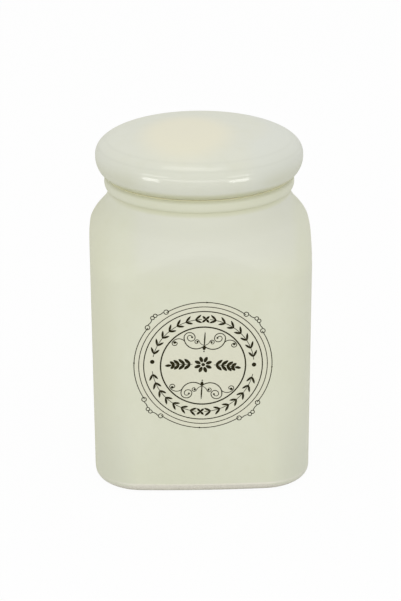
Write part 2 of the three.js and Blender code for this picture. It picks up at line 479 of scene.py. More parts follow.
@dataclass(frozen=True)
class GlazeFinish(Finish):
    """A cream gloss glaze on fired clay, with the clay left bare below a line above the foot.

    Tints change the colour of the glaze: its own tones, and painted shade, light and reflection.
    Painted shadows darken the glaze and the clay alike. The line wanders, and on a square piece the
    glaze runs past it in the corners.
    """

    haze: float | None = 0.6
    colour: Colour = (0.655, 0.665, 0.525)
    light: Colour = (0.675, 0.684, 0.552)
    deep: Colour = (0.61, 0.612, 0.44)
    clay: Colour = (0.705, 0.68, 0.60)
    clay_shade: float = 0.88
    tints: tuple[Tint, ...] = ()
    painted_shadows: tuple[Tint, ...] = ()
    gloss: float = 0.09
    gloss_change: float = 0.05
    clay_roughness: float = 0.82
    cloud_size: float = 42 * MM
    cloud_range: Place = (0.3, 0.7)
    mottle_size: float = 7 * MM
    mottle_range: Place = (0.45, 0.8)
    mottle_share: float = 0.16
    grain_size: float = 0.5 * MM
    grain_range: Place = (0.35, 0.7)
    grain_height: float = 0.05 * MM
    wave_size: float = 30 * MM
    wave_height: float = 0.05 * MM
    peel_size: float = 1.6 * MM
    peel_height: float = 0.0035 * MM
    pit_spacing: float = 14 * MM
    pit_radius: float = 0.16 * MM
    pit_share: float = 0.35
    pit_depth: float = 0.03 * MM
    glaze_thickness: float = 0.12 * MM
    bare_below: float = -1.0
    bare_soft: float = 0.5 * MM
    bare_climb: float = 0.0
    wander_size: float = 9 * MM
    wander_height: float = 0.9 * MM
    run_reach: float = 0.0
    run_before: float = 10 * MM
    run_after: float = 3 * MM
    run_depth: float = 2.4 * MM

    def bare(self, graph: Graph, place: bpy.types.NodeSocket) -> Value:
        """Finds the bare clay.

        Args:
            graph: The material's graph.
            place: The point that is being shaded.

        Returns:
            1 where the clay is bare, and 0 where it is glazed.
        """
        x, y, z = graph.split(place)
        wander = (graph.noise(place, self.wander_size) - 0.5) * self.wander_height
        line = z + wander - x * self.bare_climb
        if self.run_reach > 0:
            start, end = self.run_reach - self.run_before, self.run_reach + self.run_after
            line = line + (abs(x) + abs(y)).rising(start, end) * self.run_depth
        return 1.0 - line.rising(self.bare_below, self.bare_below + self.bare_soft)

    def inputs(self, graph: Graph) -> dict[str, object]:
        """Makes the nodes of the finish.

        Args:
            graph: The material's graph.

        Returns:
            The surface's colour, roughness and relief.
        """
        place = graph.place()
        across = graph.split(place)
        cloud = graph.noise(place, self.cloud_size, 3.0)
        mottle = graph.noise(place, self.mottle_size, 3.0)
        grain = graph.noise(place, self.grain_size)
        waves = graph.noise(place, self.wave_size, 1.0)
        peel = graph.noise(place, self.peel_size, 1.0)
        pits = graph.specks(place, self.pit_spacing, self.pit_radius)
        bare = self.bare(graph, place)
        colour = graph.mix(cloud.rising(*self.cloud_range), self.colour, self.light)
        mottled = mottle.rising(*self.mottle_range) * self.mottle_share
        colour = graph.mix(mottled, colour, self.deep)
        # Tints: the glaze's own tones, and painted shade, light and reflection.
        for tint in self.tints:
            colour = graph.mix(tint.share(*across), colour, tint.tone)
        colour = graph.mix(pits * self.pit_share, colour, self.deep)
        dark_clay = tuple(c * self.clay_shade for c in self.clay)
        clay = graph.mix(grain.rising(*self.grain_range), self.clay, dark_clay)
        colour = graph.mix(bare, colour, clay)
        # Painted shadows go over the glaze and the bare clay alike.
        for painted_shadow in self.painted_shadows:
            colour = graph.mix(painted_shadow.share(*across), colour, painted_shadow.tone)
        gloss = self.gloss + mottle * self.gloss_change
        height = waves * self.wave_height + peel * self.peel_height - pits * self.pit_depth
        clay_height = grain * self.grain_height * bare - bare * self.glaze_thickness
        return {
            "Base Color": colour,
            "Roughness": gloss + bare * (self.clay_roughness - self.gloss),
            "Normal": graph.relief(height + clay_height),
        }


@dataclass(frozen=True)
class InkFinish(Finish):
    """Dark brown ceramic ink, fired on, a little thinner in places."""

    refraction: float = 1.2
    colour: Colour = (0.016, 0.014, 0.002)
    worn: Colour = (0.062, 0.055, 0.022)
    worn_range: Place = (0.5, 0.8)
    worn_share: float = 0.7
    dot_range: Place = (0.55, 0.8)
    dot_share: float = 0.2
    roughness: float = 0.5
    roughness_change: float = 0.12
    cloud_size: float = 2.2 * MM
    dot_size: float = 0.25 * MM
    dot_height: float = 0.004 * MM

    def inputs(self, graph: Graph) -> dict[str, object]:
        """Makes the nodes of the finish.

        Args:
            graph: The material's graph.

        Returns:
            The surface's colour, roughness and relief.
        """
        place = graph.place()
        cover = graph.noise(place, self.cloud_size, 3.0)
        dots = graph.noise(place, self.dot_size, 1.0)
        thin = cover.rising(*self.worn_range) * self.worn_share
        dotted = dots.rising(*self.dot_range) * self.dot_share
        return {
            "Base Color": graph.mix(thin + dotted, self.colour, self.worn),
            "Roughness": self.roughness + dots * self.roughness_change,
            "Normal": graph.relief(dots * self.dot_height),
        }


@dataclass(frozen=True)
class SiliconeFinish(Finish):
    """Milky moulded silicone rubber, matt with a little lint."""

    refraction: float = 1.41
    colour: Colour = (0.80, 0.79, 0.74)
    shade: Colour = (0.72, 0.70, 0.63)
    lint: Colour = (0.62, 0.60, 0.55)
    lint_share: float = 0.6
    lint_spacing: float = 4.5 * MM
    lint_radius: float = 0.12 * MM
    roughness: float = 0.46
    roughness_change: float = 0.18
    cloud_size: float = 11 * MM
    cloud_range: Place = (0.35, 0.7)
    grain_size: float = 0.35 * MM
    grain_height: float = 0.012 * MM

    def inputs(self, graph: Graph) -> dict[str, object]:
        """Makes the nodes of the finish.

        Args:
            graph: The material's graph.

        Returns:
            The surface's colour, roughness and relief.
        """
        place = graph.place()
        cloud = graph.noise(place, self.cloud_size, 3.0)
        grain = graph.noise(place, self.grain_size)
        specks = graph.specks(place, self.lint_spacing, self.lint_radius)
        colour = graph.mix(cloud.rising(*self.cloud_range), self.colour, self.shade)
        return {
            "Base Color": graph.mix(specks * self.lint_share, colour, self.lint),
            "Roughness": self.roughness + grain * self.roughness_change,
            "Normal": graph.relief(grain * self.grain_height),
        }


# ---------------------------------------------------------------------------------------------
# Mesh building
# ---------------------------------------------------------------------------------------------


def verts_of(geometry: Iterable[object]) -> list[bmesh.types.BMVert]:
    """Returns the vertices among an operator's results."""
    return [g for g in geometry if isinstance(g, bmesh.types.BMVert)]


def edges_of(geometry: Iterable[object]) -> list[bmesh.types.BMEdge]:
    """Returns the edges among an operator's results."""
    return [g for g in geometry if isinstance(g, bmesh.types.BMEdge)]


def draw_line(bm: bmesh.types.BMesh, points: Sequence[Place]) -> None:
    """Draws a profile of radii and heights by pulling one vertex along it.

    Args:
        bm: The mesh to draw in.
        points: The profile's radii and heights.
    """
    first = Vector((points[0][0], 0.0, points[0][1]))
    tip = bm.verts.new(first)
    for radius, height in points[1:]:
        made = bmesh.ops.extrude_vert_indiv(bm, verts=[tip])
        tip = made["verts"][0]
        tip.co = (radius, 0.0, height)


def revolve(bm: bmesh.types.BMesh, steps: int) -> None:
    """Turns everything drawn in a mesh round the Z axis and closes its poles.

    Args:
        bm: The mesh.
        steps: How many faces it gets round the axis.
    """
    bmesh.ops.spin(
        bm,
        geom=bm.verts[:] + bm.edges[:],
        cent=(0, 0, 0),
        axis=(0, 0, 1),
        angle=FULL,
        steps=steps,
        use_merge=True,
    )
    bmesh.ops.remove_doubles(bm, verts=bm.verts[:], dist=MERGE_DISTANCE)
    bmesh.ops.recalc_face_normals(bm, faces=bm.faces[:])


def soften_edges(bm: bmesh.types.BMesh, width: float) -> None:
    """Rounds the sharp edges of a closed mesh off.

    Args:
        bm: The mesh.
        width: How far the rounding reaches to either side of an edge.
    """
    sharp = [e for e in bm.edges if e.is_manifold and e.calc_face_angle() > SHARP_ANGLE]
    bmesh.ops.bevel(
        bm,
        geom=sharp,
        offset=width,
        offset_type="OFFSET",
        segments=2,
        profile=0.5,
        affect="EDGES",
        clamp_overlap=True,
        material=-1,
    )


def finish_mesh(bm: bmesh.types.BMesh, name: str, material: bpy.types.Material) -> bpy.types.Object:
    """Turns a finished bmesh into an object at the origin, smooth but for its sharp edges.

    Args:
        bm: The mesh, which is freed.
        name: The object's name.
        material: Its finish.

    Returns:
        The object.
    """
    for face in bm.faces:
        face.smooth = True
    for edge in bm.edges:
        edge.smooth = not edge.is_manifold or edge.calc_face_angle() < SHARP_ANGLE
    mesh = bpy.data.meshes.new(name)
    bm.to_mesh(mesh)
    bm.free()
    mesh.materials.append(material)
    made = bpy.data.objects.new(name, mesh)
    bpy.context.scene.collection.objects.link(made)
    return made


def report(piece: bpy.types.Object) -> None:
    """Logs a piece's name and how many faces it has."""
    log.info("%s: %d faces", piece.name, len(piece.data.polygons))


@dataclass(frozen=True)
class Section:
    """A level section of the jar: a square with gently bowed sides and rounded corners.

    It is a circle where the corners' radius is the half width.
    """

    height: float
    half: float
    radius: float
    bow: float

    @property
    def centre(self) -> float:
        """The place of a corner's arc.

        Returns:
            How far its centre is from both middle planes.
        """
        away = self.half - self.bow
        between = self.bow - self.radius
        return (away + math.sqrt(2 * between**2 - away**2)) / 2

    @property
    def side_end(self) -> Place:
        """The place where a side's bow meets a corner's arc.

        Returns:
            How far out it is, and how far along the side.
        """
        away = self.half - self.bow
        share = self.bow / (self.bow - self.radius)
        return away + (self.centre - away) * share, self.centre * share

    def front(self, across: float) -> float:
        """Finds the section's front.

        Args:
            across: A distance across from its middle.

        Returns:
            The front's Y there.
        """
        if abs(across) <= self.side_end[1]:
            return -(self.half - self.bow + math.sqrt(self.bow**2 - across**2))
        past = abs(across) - self.centre
        return -(self.centre + math.sqrt(self.radius**2 - past**2))

    def reach(self, angle: float) -> float:
        """Measures the section in one direction.

        Args:
            angle: The direction.

        Returns:
            The distance from the axis to the section's edge.
        """
        along = max(abs(math.cos(angle)), abs(math.sin(angle)))
        across = min(abs(math.cos(angle)), abs(math.sin(angle)))
        out, end = self.side_end
        if across * out <= along * end:
            away = self.half - self.bow
            return away * along + math.sqrt(self.bow**2 - (away * across) ** 2)
        run = self.centre * (along + across)
        return run + math.sqrt(run * run - 2 * self.centre**2 + self.radius**2)

    def take(self, verts: Iterable[bmesh.types.BMVert]) -> None:
        """Moves vertices onto the section, each in its own direction from the axis.

        Args:
            verts: The vertices.
        """
        for vert in verts:
            angle = math.atan2(vert.co.y, vert.co.x)
            out = self.reach(angle)
            vert.co = (out * math.cos(angle), out * math.sin(angle), self.height)


@dataclass(frozen=True)
class Outline:
    """One of the shoulder's outlines, as its outside and its inside, one wall apart."""

    outside: tuple[Place, ...]
    inside: tuple[Place, ...]

    def reach(self, face: Face, height: float) -> float:
        """Measures one face of the outline, which goes on upright past its ends.

        Args:
            face: The outside or the inside.
            height: A height.

        Returns:
            How far out the face is at that height.
        """
        points = self.outside if face is Face.OUTSIDE else self.inside
        after = next((i for i, p in enumerate(points) if p[1] >= height), None)
        if after == 0:
            return points[0][0]
        if after is None:
            return points[-1][0]
        (low_out, low), (high_out, high) = points[after - 1], points[after]
        return low_out + (high_out - low_out) * (height - low) / (high - low)


@dataclass
class Jar:
    """The jar: a square body, a shoulder, a round neck with a collar, and the inside."""

    width: float = 110 * MM
    side_bow: float = 546 * MM
    corner_radius: float = 24.3 * MM
    base_edge_radius: float = 4.8 * MM
    wall: float = 5 * MM
    floor_thickness: float = 5.4 * MM
    floor_fillet_radius: float = 8 * MM
    foot_width: float = 5 * MM
    foot_recess_depth: float = 1.6 * MM
    neck_height: float = 143.3 * MM
    neck_radius: float = 45.4 * MM
    side_shoulder_height: float = 20.8 * MM
    corner_shoulder_height: float = 33.4 * MM
    round_drop: float = 13.5 * MM
    side_wall_pull: float = 0.535
    side_neck_pull: float = 0.46
    corner_wall_pull: float = 0.41
    corner_round_pull: float = 0.4
    collar_height: float = 6.4 * MM
    collar_bulge: float = 1.8 * MM
    lip_edge_radius: float = 1.2 * MM
    side_facets: int = 20
    corner_steps: int = 26
    edge_steps: int = 12
    side_steps: int = 8
    shoulder_steps: int = 60
    collar_steps: int = 22
    curve_samples: int = 240
    bare_below: float = 4.1 * MM
    bare_climb: float = -0.005
    gloss: float = 0.15
    corner_reach: float = 94 * MM
    # On the jar, painted reflection of the light from above in the shoulder's gloss.
    cool_glaze: Colour = (0.668, 0.674, 0.574)
    # Painted shade: the collar below the lid, the crease under it and the flanks.
    painted_shade_tone: Colour = (0.61, 0.612, 0.44)
    # Painted shadow of the lid on the collar's top.
    lid_shadow_tone: Colour = (0.53, 0.53, 0.36)
    # Painted light: near white, to lift the shade in the seam under the lid.
    seam_light_tone: Colour = (0.94, 0.92, 0.72)
    thin_glaze: Colour = (0.765, 0.74, 0.645)
    # Painted shade on the lower corners.
    corner_shade_tone: Colour = (0.58, 0.59, 0.49)
    # Painted contact shadow along the foot's edge.
    foot_shadow_tone: Colour = (0.46, 0.45, 0.36)

    @property
    def half(self) -> float:
        """Half the body's width."""
        return self.width / 2

    @property
    def lip_height(self) -> float:
        """The height of the collar's flat top."""
        return self.neck_height + self.collar_height

    @property
    def mouth_radius(self) -> float:
        """The radius of the mouth."""
        return self.neck_radius - self.wall

    def angles(self) -> list[float]:
        """Spreads a section's points over its sides and its corners.

        Returns:
            The directions in which every section has its points.
        """
        out, end = self.body_section(0.0, 0.0).side_end
        turn = math.atan2(end, out)
        found: list[float] = []
        for side in range(4):
            middle = side * QUARTER
            found += spread(middle - turn, middle + turn, self.side_facets)[:-1]
            found += spread(middle + turn, middle + QUARTER - turn, self.corner_steps)[:-1]
        return found

    def body_section(self, height: float, inset: float) -> Section:
        """Returns a section of the square body, drawn in by an inset."""
        half, radius, bow = (r - inset for r in (self.half, self.corner_radius, self.side_bow))
        return Section(height, half, radius, bow)

    def round_section(self, height: float, radius: float) -> Section:
        """Returns a round section."""
        return Section(height, radius, radius, self.side_bow)

    def outline(self, curve: Sequence[Vector]) -> Outline:
        """Pairs a curve with its copy one wall further in, measured square to it.

        Args:
            curve: The outside, as points out and up.

        Returns:
            Both faces.
        """
        inner: list[Place] = []
        for i, point in enumerate(curve):
            along = curve[min(i + 1, len(curve) - 1)] - curve[max(i - 1, 0)]
            along = along.normalized()
            inner.append((point.x - along.y * self.wall, point.y + along.x * self.wall))
        return Outline(tuple((p.x, p.y) for p in curve), tuple(inner))

    def shoulder(self) -> tuple[Outline, Outline]:
        """Draws the shoulder's outlines.

        Returns:
            The outline over the middle of a side, and the one over a corner.
        """
        top = self.neck_height
        rise = self.side_shoulder_height
        foot = top - rise
        side = interpolate_bezier(
            Vector((self.half, foot)),
            Vector((self.half, foot + rise * self.side_wall_pull)),
            Vector((self.neck_radius, top - rise * self.side_neck_pull)),
            Vector((self.neck_radius, top)),
            self.curve_samples,
        )
        joint = next(i for i, p in enumerate(side) if p.y >= top - self.round_drop)
        along = (side[joint + 1] - side[joint - 1]).normalized()
        centre = self.body_section(0.0, 0.0).centre
        corner_out = centre * math.sqrt(2) + self.corner_radius
        corner_foot = top - self.corner_shoulder_height
        corner_rise = side[joint].y - corner_foot
        corner = interpolate_bezier(
            Vector((corner_out, corner_foot)),
            Vector((corner_out, corner_foot + corner_rise * self.corner_wall_pull)),
            side[joint] - along * corner_rise * self.corner_round_pull,
            side[joint],
            self.curve_samples,
        )
        return self.outline(side), self.outline([*corner, *side[joint + 1 :]])

    def shoulder_sections(self, face: Face, heights: Sequence[float]) -> list[Section]:
        """Cuts one face of the shoulder.

        Args:
            face: The outside or the inside.
            heights: Where it is cut.

        Returns:
            The section at each height.
        """
        side, corner = self.shoulder()
        bow = self.side_bow - (self.wall if face is Face.INSIDE else 0.0)
        found = []
        for height in heights:
            half = side.reach(face, height)
            diagonal = corner.reach(face, height)
            away = half - bow
            over = diagonal * (diagonal - away * math.sqrt(2)) + away**2 - bow**2
            radius = over / (2 * diagonal - away * math.sqrt(2) - 2 * bow)
            found.append(Section(height, half, min(radius, half), bow))
        return found

    def sections(self) -> list[Section]:
        """Lists the jar's sections: foot, outside, collar, lip, inside, floor.

        Returns:
            The sections, from the middle of the foot to the middle of the floor.
        """
        edge, foot, recess = self.base_edge_radius, self.foot_width, self.foot_recess_depth
        shoulder_foot = self.neck_height - self.corner_shoulder_height
        rows = [
            self.body_section(recess * (1 - math.cos(t)), edge + foot + recess * math.sin(t))
            for t in spread(QUARTER, 0, self.edge_steps // 2)
        ]
        rows += [
            self.body_section(edge * (1 - math.cos(t)), edge * (1 - math.sin(t)))
            for t in spread(0, QUARTER, self.edge_steps)
        ]
        sides = spread(edge + MM, shoulder_foot - MM, self.side_steps)
        rows += [self.body_section(height, 0) for height in sides]
        climb = spread(shoulder_foot, self.neck_height, self.shoulder_steps)
        rows += self.shoulder_sections(Face.OUTSIDE, climb)
        for t in spread(-QUARTER, QUARTER, self.collar_steps)[1:]:
            height = self.neck_height + self.collar_height / 2 * (1 + math.sin(t))
            out = self.neck_radius + self.collar_bulge * math.cos(t)
            rows.append(self.round_section(height, out))
        for t in spread(QUARTER, 0, self.edge_steps // 2):
            height = self.lip_height - self.lip_edge_radius * (1 - math.sin(t))
            out = self.mouth_radius + self.lip_edge_radius * (1 - math.cos(t))
            rows.append(self.round_section(height, out))
        rows += self.shoulder_sections(Face.INSIDE, climb[::-1])
        fillet, floor = self.floor_fillet_radius, recess + self.floor_thickness
        sides = spread(shoulder_foot - MM, floor + fillet + MM, self.side_steps)
        rows += [self.body_section(height, self.wall) for height in sides]
        rows += [
            self.body_section(
                floor + fillet * (1 - math.sin(t)), self.wall + fillet * (1 - math.cos(t))
            )
            for t in spread(0, QUARTER, self.edge_steps)
        ]
        return rows

    def shell(self, finish: bpy.types.Material) -> bpy.types.Object:
        """Builds the jar by pulling a ring of edges from section to section.

        Args:
            finish: The jar's material.

        Returns:
            The jar's object.
        """
        rows = self.sections()
        angles = self.angles()
        bm = bmesh.new()
        bmesh.ops.create_circle(
            bm, cap_ends=True, cap_tris=True, segments=len(angles), radius=self.half
        )
        rim = [v for v in bm.verts if v.is_boundary]
        centre = next(v for v in bm.verts if not v.is_boundary)
        centre.co = (0, 0, rows[0].height)
        rim.sort(key=lambda v: math.atan2(v.co.y, v.co.x))
        around = sorted(math.atan2(math.sin(a), math.cos(a)) for a in angles)
        for vert, angle in zip(rim, around):
            vert.co = (math.cos(angle), math.sin(angle), 0)
        rows[0].take(rim)
        edges = [e for e in bm.edges if e.is_boundary]
        for row in rows[1:]:
            made = bmesh.ops.extrude_edge_only(bm, edges=edges)["geom"]
            edges = [e for e in edges_of(made) if e.is_boundary]
            row.take(verts_of(made))
        made = bmesh.ops.extrude_edge_only(bm, edges=edges)["geom"]
        bmesh.ops.pointmerge(bm, verts=verts_of(made), merge_co=(0, 0, rows[-1].height))
        bmesh.ops.recalc_face_normals(bm, faces=bm.faces[:])
        return finish_mesh(bm, "jar_shell", finish)

    def dress(self, badge: "Badge") -> None:
        """Builds the jar in its glaze and puts it in the frame.

        Args:
            badge: The badge, under which the glaze has a tone of its own.
        """
        neck, lip, bare = self.neck_height, self.lip_height, self.bare_below
        finish = GlazeFinish(
            name="cream glaze",
            gloss=self.gloss,
            tints=(
                # Painted reflection: a cooler, paler tone where the shoulder's gloss mirrors the
                # light from above.
                Patch(
                    self.cool_glaze,
                    bottom=neck - 33 * MM,
                    top=neck - 1 * MM,
                    left=-38 * MM,
                    right=50 * MM,
                ),
                # Painted shade on the collar below the lid and in the crease under it.
                LevelBand(self.painted_shade_tone, middle=neck + 2.8 * MM, width=5.5 * MM, strength=0.3),
                LevelBand(self.painted_shade_tone, middle=neck - 0.5 * MM, width=2.5 * MM, strength=0.75),
                # Painted shadow of the lid on the collar's top.
                LevelBand(self.lid_shadow_tone, middle=lip - 0.7 * MM, width=1.4 * MM, strength=0.7),
                # Painted light in the seam, on the collar's top.
                LevelBand(self.seam_light_tone, middle=lip, width=0.3 * MM, strength=1.0),
                LevelBand(self.thin_glaze, middle=bare + 0.5 * MM, width=0.9 * MM, strength=1.0),
                # Painted shade on the flanks, strong on the left and faint on the right.
                FlankShade(self.painted_shade_tone, middle=-self.half, width=17 * MM, strength=0.72),
                FlankShade(self.painted_shade_tone, middle=self.half, width=17 * MM, strength=0.1),
                # Painted shade on the lower corners.
                CornerShade(self.corner_shade_tone, reach=self.corner_reach),
                Ground(badge.ground_glaze, height=badge.height, reach=badge.outer_ring),
            ),
            # Painted contact shadow along the foot's edge.
            painted_shadows=(FootShadow(self.foot_shadow_tone),),
            bare_below=bare,
            bare_climb=self.bare_climb,
            run_reach=self.corner_reach,
        )
        piece = self.shell(finish.material())
        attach(piece, Part.JAR.value)
        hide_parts(Part.JAR.value)
        report(piece)


@dataclass(frozen=True)
class Scroll:
    """A line of arcs that follow on each other smoothly, up to a bead at its end.

    Each arc has its radius, its turn in degrees, against the clock where positive, and its line's
    width.
    """

    start: Place
    heading: float
    arcs: tuple[tuple[float, float, float], ...]
    bead: float


class Pen:
    """Draws flat shapes of ink in a mesh, across and up, before they are laid on the jar."""

    bow_steps = 10
    oval_steps = 20
    curl_step = math.radians(9)

    def __init__(self, bm: bmesh.types.BMesh) -> None:
        """Takes the mesh to draw in."""
        self.bm = bm

    def ring(self, radius: float, width: float, steps: int) -> None:
        """Draws a full ring round the middle."""
        self.arc((0.0, 0.0), radius, width, 0.0, FULL, steps)

    def arc(
        self, middle: Place, radius: float, width: float, start: float, turn: float, steps: int
    ) -> None:
        """Draws part of a ring by turning one short edge.

        Args:
            middle: The ring's middle.
            radius: Its radius, to the middle of the line.
            width: The line's width.
            start: The direction in which it starts.
            turn: How far it goes round, against the clock where positive.
            steps: How many faces it has.
        """
        centre = Vector((*middle, 0.0))
        way = Vector((math.cos(start), math.sin(start), 0.0))
        ends = [self.bm.verts.new(centre + way * (radius + s * width / 2)) for s in (-1, 1)]
        edge = self.bm.edges.new(ends)
        bmesh.ops.spin(
            self.bm,
            geom=[*ends, edge],
            cent=centre,
            axis=(0, 0, 1),
            angle=turn,
            steps=steps,
            use_merge=abs(turn) == FULL,
        )

    def bow(self, start: Place, end: Place, sag: float, width: float) -> None:
        """Draws a shallow arc between two points.

        Args:
            start: Where the arc begins.
            end: Where it ends.
            sag: How far it bulges out to the left of its way.
            width: The line's width.
        """
        first, last = Vector(start), Vector(end)
        chord = last - first
        radius = (chord.length_squared / 4 + sag**2) / (2 * sag)
        left = Vector((-chord.y, chord.x)).normalized()
        middle = (first + last) / 2 + left * (sag - radius)
        way = math.atan2(first.y - middle.y, first.x - middle.x)
        turn = -2 * math.asin(chord.length / 2 / radius)
        self.arc((middle.x, middle.y), radius, width, way, turn, self.bow_steps)

    def curl(self, scroll: Scroll) -> None:
        """Draws a scroll and its bead.

        Args:
            scroll: The scroll.
        """
        place = Vector((*scroll.start, 0.0))
        heading = math.radians(scroll.heading)
        for radius, degrees, width in scroll.arcs:
            turn = math.radians(degrees)
            side = math.copysign(QUARTER, turn)
            to_middle = Vector((math.cos(heading + side), math.sin(heading + side), 0.0))
            middle = place + to_middle * radius
            steps = max(3, round(abs(turn) / self.curl_step))
            self.arc((middle.x, middle.y), radius, width, heading - side, turn, steps)
            place = middle + Matrix.Rotation(turn, 3, "Z") @ (place - middle)
            heading += turn
        self.bead((place.x, place.y), scroll.bead)

    def bead(self, middle: Place, radius: float) -> None:
        """Draws a round dot."""
        self.leaf(middle, 0.0, radius, radius, 1.0, centred=True)

    def leaf(
        self,
        foot: Place,
        heading: float,
        half_length: float,
        half_width: float,
        point: float = 1.7,
        centred: bool = False,
    ) -> None:
        """Draws a leaf, pointed at both ends.

        Args:
            foot: Where the leaf starts, or its middle where it is centred.
            heading: The direction in which it points.
            half_length: Half of its length.
            half_width: Half of its width.
            point: How pointed its ends are; 1 is an oval.
            centred: Whether foot is the leaf's middle.
        """
        made = bmesh.ops.create_circle(
            self.bm, cap_ends=True, segments=self.oval_steps, radius=1.0
        )
        for vert in made["verts"]:
            vert.co.y = math.copysign(abs(vert.co.y) ** point, vert.co.y) * half_width
            vert.co.x = (vert.co.x + (0.0 if centred else 1.0)) * half_length
        turn = Matrix.Translation((*foot, 0.0)) @ Matrix.Rotation(heading, 4, "Z")
        bmesh.ops.transform(self.bm, verts=made["verts"], matrix=turn)

    def mirror(self, axis: str) -> None:
        """Repeats everything drawn so far on the other side.

        Args:
            axis: The axis that changes its sign, X or Y.
        """
        drawn = self.bm.verts[:] + self.bm.edges[:] + self.bm.faces[:]
        copy = bmesh.ops.duplicate(self.bm, geom=drawn)
        flip = (-1, 1, 1) if axis == "X" else (1, -1, 1)
        bmesh.ops.scale(self.bm, vec=flip, verts=verts_of(copy["geom"]))


@dataclass
class Badge:
    """The printed badge on the front: rings, leaf garlands, a flower with sprigs, and scrolls.

    The edging's stops are the loop at the end of a ring's quarter, the two ends of a shallow arc,
    and a loop beside the diagonal. Each has a share of the edging's turn and a rise over the ring.
    A sprig's leaves have their place across and their length, and the spine's have their foot, half
    length, half width and point.
    """

    jar: Jar
    height: float = 68.9 * MM
    tilt: float = math.radians(-3)
    flattening: float = 0.982
    lean: float = 0.0068
    ground_glaze: Colour = (0.686, 0.668, 0.528)
    outer_ring: float = 33.47 * MM
    second_ring: float = 31.17 * MM
    third_ring: float = 28.76 * MM
    inner_ring: float = 20.59 * MM
    hair_line: float = 0.41 * MM
    thin_line: float = 0.39 * MM
    line: float = 0.51 * MM
    bold_line: float = 0.70 * MM
    stem: float = 0.32 * MM
    bead: float = 0.5 * MM
    ring_steps: int = 180
    loop_steps: int = 18
    small_loop_steps: int = 16
    proud: float = 0.03 * MM
    sunk: float = 0.05 * MM
    edging_turn: float = math.radians(10.3)
    edging_loop: float = 1.12 * MM
    small_loop: float = 0.896 * MM
    edging_bead: float = 0.4 * MM
    edging_sag: float = 0.35 * MM
    edging_stops: tuple[Place, ...] = (
        (1.0, 0.3 * MM),
        (0.8, 1.05 * MM),
        (0.28, 1.5 * MM),
        (0.14, 1.9 * MM),
    )
    bullet: float = 1.1 * MM
    bullet_lift: float = 1.2 * MM
    clasp_leaf: Place = (1.2 * MM, 0.6 * MM)
    garland_pairs: int = 7
    first_pair: float = 0.3
    garland_start: float = math.radians(9)
    garland_end: float = math.radians(85.5)
    leaf_length: float = 4.1 * MM
    inner_leaf_share: float = 0.9
    leaf_width: float = 1.14 * MM
    leaf_lean: float = math.radians(33)
    flower_lift: float = 0.7 * MM
    flower_heart: float = 0.9 * MM
    petals: int = 8
    petal_foot: float = 1.3 * MM
    petal: Place = (1.6 * MM, 0.88 * MM)
    petal_point: float = 1.2
    sprig_start: float = 5.2 * MM
    sprig_radius: float = 60 * MM
    sprig_turn: float = math.radians(-10)
    sprig_steps: int = 8
    sprig_lean: float = math.radians(42)
    sprig_width: float = 1.64 * MM
    sprig_point: float = 1.5
    sprig_leaves: tuple[Place, ...] = (
        (6.1 * MM, 4.2 * MM),
        (8.8 * MM, 4.2 * MM),
        (11.4 * MM, 3.8 * MM),
        (13.7 * MM, 3.0 * MM),
    )
    tip_place: Place = (15.3 * MM, -0.9 * MM)
    tip_heading: float = math.radians(-9)
    tip_leaf: Place = (1.6 * MM, 0.72 * MM)
    spine: tuple[tuple[float, float, float, float], ...] = (
        (9.9 * MM, 4.1 * MM, 0.34 * MM, 1.0),
        (8.3 * MM, 1.35 * MM, 0.8 * MM, 1.3),
    )
    spine_bead_height: float = 7.7 * MM
    spine_bead: float = 0.35 * MM
    volute: Scroll = Scroll(
        (0.45 * MM, 10.2 * MM),
        -38,
        (
            (5.9 * MM, 128, 0.5 * MM),
            (2.65 * MM, 180, 0.44 * MM),
            (1.85 * MM, 180, 0.4 * MM),
            (1.15 * MM, 170, 0.36 * MM),
        ),
        0.5 * MM,
    )
    tendril: Scroll = Scroll(
        (9.55 * MM, 12.75 * MM),
        50,
        ((3.6 * MM, -110, 0.4 * MM), (1.25 * MM, -190, 0.4 * MM), (0.75 * MM, -150, 0.36 * MM)),
        0.7 * MM,
    )
    knot: Scroll = Scroll(
        (0.3 * MM, 11.0 * MM),
        15,
        ((3.4 * MM, 55, 0.32 * MM), (1.05 * MM, -220, 0.36 * MM), (0.6 * MM, -160, 0.32 * MM)),
        0.55 * MM,
    )

    @property
    def band(self) -> float:
        """The radius of the middle of the garlands' band."""
        return (self.third_ring + self.inner_ring) / 2

    def rings(self, pen: Pen) -> None:
        """Draws the three full rings.

        Args:
            pen: The pen to draw with.
        """
        pen.ring(self.second_ring, self.thin_line, self.ring_steps)
        pen.ring(self.third_ring, self.line, self.ring_steps)
        pen.ring(self.inner_ring, self.bold_line, self.ring_steps)

    def edging(self, pen: Pen) -> None:
        """Draws the right upper quarter of the outer ring, with loops beside its diagonal.

        Args:
            pen: The pen to draw with.
        """
        ring, middle, gap = self.outer_ring, QUARTER / 2, self.edging_turn
        for start in (0.0, middle + gap):
            pen.arc((0.0, 0.0), ring, self.hair_line, start, middle - gap, self.ring_steps // 4)
        for place in ((ring, 0.0), (0.0, ring)):
            pen.bead(place, self.edging_bead)
        for side in (-1, 1):
            end, foot, top, pair = (
                ((ring + rise) * math.cos(way), (ring + rise) * math.sin(way))
                for way, rise in ((middle + side * gap * s, rise) for s, rise in self.edging_stops)
            )
            pen.arc(end, self.edging_loop, self.hair_line, 0.0, FULL, self.loop_steps)
            pen.arc(pair, self.small_loop, self.hair_line, 0.0, FULL, self.small_loop_steps)
            ends = (foot, top) if side < 0 else (top, foot)
            pen.bow(*ends, self.edging_sag, self.hair_line)

